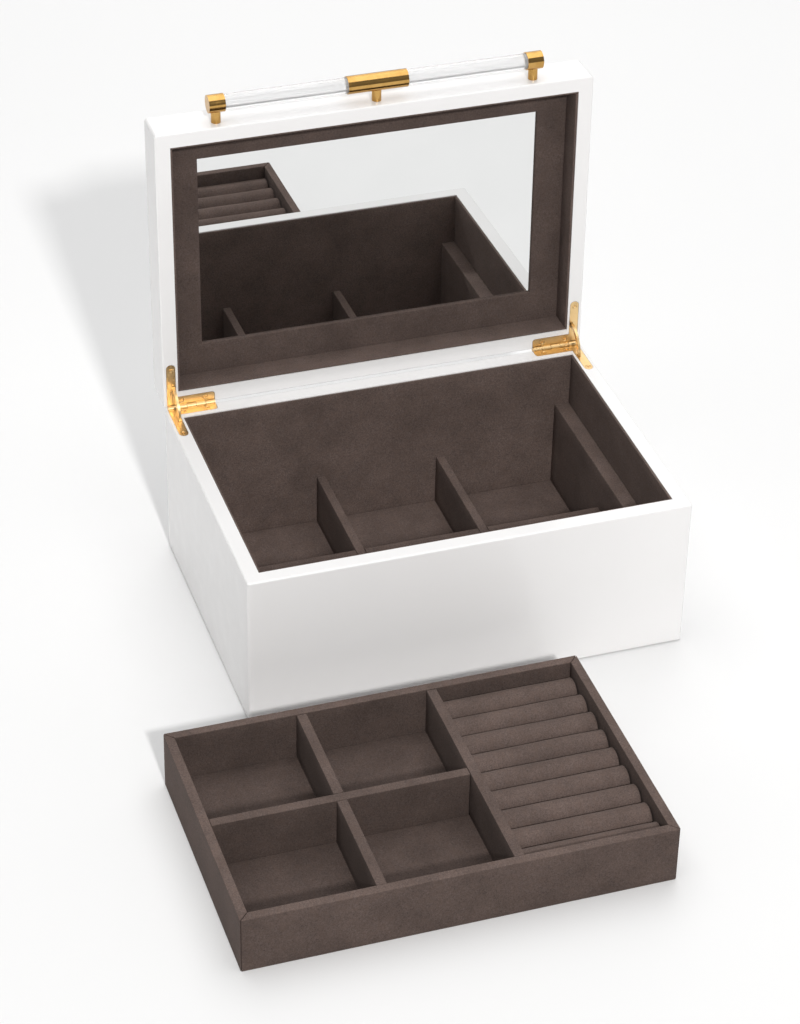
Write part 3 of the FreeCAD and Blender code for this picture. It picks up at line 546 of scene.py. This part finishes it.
def tube_faces(spans, count):
    """Faces of a tube whose rings have count vertices each."""
    faces = []
    for span in range(spans):
        for i in range(count):
            j = (i + 1) % count
            near, far = span * count, (span + 1) * count
            faces.append([near + i, near + j, far + j, far + i])
    return faces


def make_ring_rolls():
    """Nine foam rolls under suede: a round top, straight flanks, and drawn-in ends."""
    rolls = [name for name in NODES if name.startswith("ring_roll_")]
    for number, name in enumerate(sorted(rolls, key=lambda name: int(name.split("_")[-1]))):
        roll = piece_from(f"{name}_padded", *roll_shell(number, *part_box(name)), "tray",
                          "ring_roll_suede", ROLL, [name], sharp=65)


def roll_shell(number, low, high):
    """Vertices and faces of one roll, with a stitched line near its right end."""
    end_radius, slack = 1.1 * MM, 0.05 * MM
    seam_depth, seam_width, seam_inset = 0.18 * MM, 0.45 * MM, 3.4 * MM
    spans, arcs = 44, 20
    half = (high.y - low.y) / 2
    centre_y, centre_z = (low.y + high.y) / 2, high.z - half
    length = high.x - low.x
    ends = [end_radius * (1 - math.cos(math.radians(a))) for a in (0, 20, 40, 60, 75, 90)]
    between = [end_radius + (length - 2 * end_radius) * i / spans for i in range(1, spans)]
    places = ends + between + [length - s for s in reversed(ends)]
    turns = [math.pi * i / arcs for i in range(arcs + 1)]
    vertices = []
    for s in places:
        depth = min(s, length - s)
        pull = 0
        if depth < end_radius:
            pull = end_radius - math.sqrt(end_radius ** 2 - (end_radius - depth) ** 2)
        seam = seam_depth * math.exp(-(((length - s) - seam_inset) / seam_width) ** 2)
        radius = half - (slack + pull + seam)
        foot = low.z - centre_z
        ring = [(radius, foot), (radius, foot * 0.5)]
        ring += [(radius * math.cos(t), radius * math.sin(t)) for t in turns]
        ring += [(-radius, foot * 0.5), (-radius, foot)]
        for y, z in ring:
            point = Vector((low.x + s, centre_y + y, centre_z + z))
            rise = max(0.0, z) / half
            swell = 0.3 * MM * noise.noise(Vector((point.x * 24, number * 5.7, rise))) - 0.16 * MM
            swell += 0.07 * MM * noise.noise(Vector((point.x * 120, point.y * 120, number * 3.3)))
            outward = Vector((0, y, max(z, 0))).normalized()
            vertices.append(point + outward * swell * (0.3 + 0.7 * rise))
    count = len(turns) + 4
    last = (len(places) - 1) * count
    faces = tube_faces(len(places) - 1, count)
    faces.append(list(range(count)))
    faces.append([last + i for i in reversed(range(count))])
    return vertices, faces


# ---------------------------------------------------------------- hard parts

def finish_hard_parts():
    """Gives each rigid CAD part its finish, and the metal ones softened edges."""
    finishes = {"white_lacquer": LACQUER, "polished_brass": HINGE_BRASS, "steel": STEEL,
                "clear_acrylic": ACRYLIC, "mirror": MIRROR, "fibreboard": FIBREBOARD, "felt": FELT,
                "lining_suede": LINING, "tray_suede": TRAY, "ring_roll_suede": ROLL}
    softened = {"handle_collar": 0.25, "handle_left_cap": 0.3, "handle_right_cap": 0.3,
                "handle_posts": 0.2}
    for side in ("left", "right"):
        for part in ("box_leaf", "lid_leaf", "stay"):
            softened[f"{side}_hinge_{part}"] = 0.12
    for name, node in NODES.items():
        slot_name = node.data.materials[0].name.split(".")[0]
        node.data.materials[0] = finishes[slot_name]
        # The handle takes a darker copy of the brass, painted shade for the dark surroundings it
        # reflects.
        if slot_name == "polished_brass" and name.startswith("handle_"):
            node.data.materials[0] = DARKENED_HANDLE_BRASS
        if name in softened:
            bevel = node.modifiers.new("softened_edges", "BEVEL")
            bevel.width = softened[name] * MM
            bevel.segments = 2
            bevel.limit_method = "ANGLE"
            bevel.angle_limit = math.radians(50)


def make_floor():
    """A wide sheet a hair below the object."""
    mesh = bpy.data.meshes.new("studio_floor")
    reach = 9
    corners = [(-reach, -reach, 0), (reach, -reach, 0), (reach, reach, 0), (-reach, reach, 0)]
    mesh.from_pydata(corners, [], [[0, 1, 2, 3]])
    mesh.materials.append(paper_floor())
    floor = bpy.data.objects.new("studio_floor", mesh)
    floor.location.z = -0.02 * MM
    bpy.context.scene.collection.objects.link(floor)


LACQUER = lacquer()
HINGE_BRASS = brass("hinge_brass", (0.84, 0.6, 0.3), (0.76, 0.53, 0.26), 0.3)
STEEL, ACRYLIC, MIRROR = steel(), acrylic(), silvered_glass()
# The handle's brass is a darker copy of the hinges' brass: its colour paints in the shade of the dark
# surroundings its polished surface reflects.
DARKENED_HANDLE_BRASS = brass("handle_brass_painted_shade", (0.6, 0.36, 0.115), (0.5, 0.285, 0.08), 0.11)
FELT, FIBREBOARD = felt(), fibreboard()
# The mirror frame's suede is the lining suede at 0.72 of its tone, a darker copy that paints shade onto
# the faces turned to the front.
LINING, FRAME_SUEDE_PAINTED_SHADE = suede("lining_suede", 1.0), suede("frame_suede_painted_shade", 0.72)
ROLL = suede("ring_roll_suede", 0.92)
# The tray's suede has a painted highlight along the tops of its walls and dividers.
TRAY = suede("tray_suede", 0.72, rim_highlight_height=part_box("tray_front_wall")[1].z)

LID_LEAN = lid_leaning()
make_camera()
light_studio()
make_floor()
finish_hard_parts()
make_tray()
make_box_inside()
make_lid_inside()
make_ring_rolls()
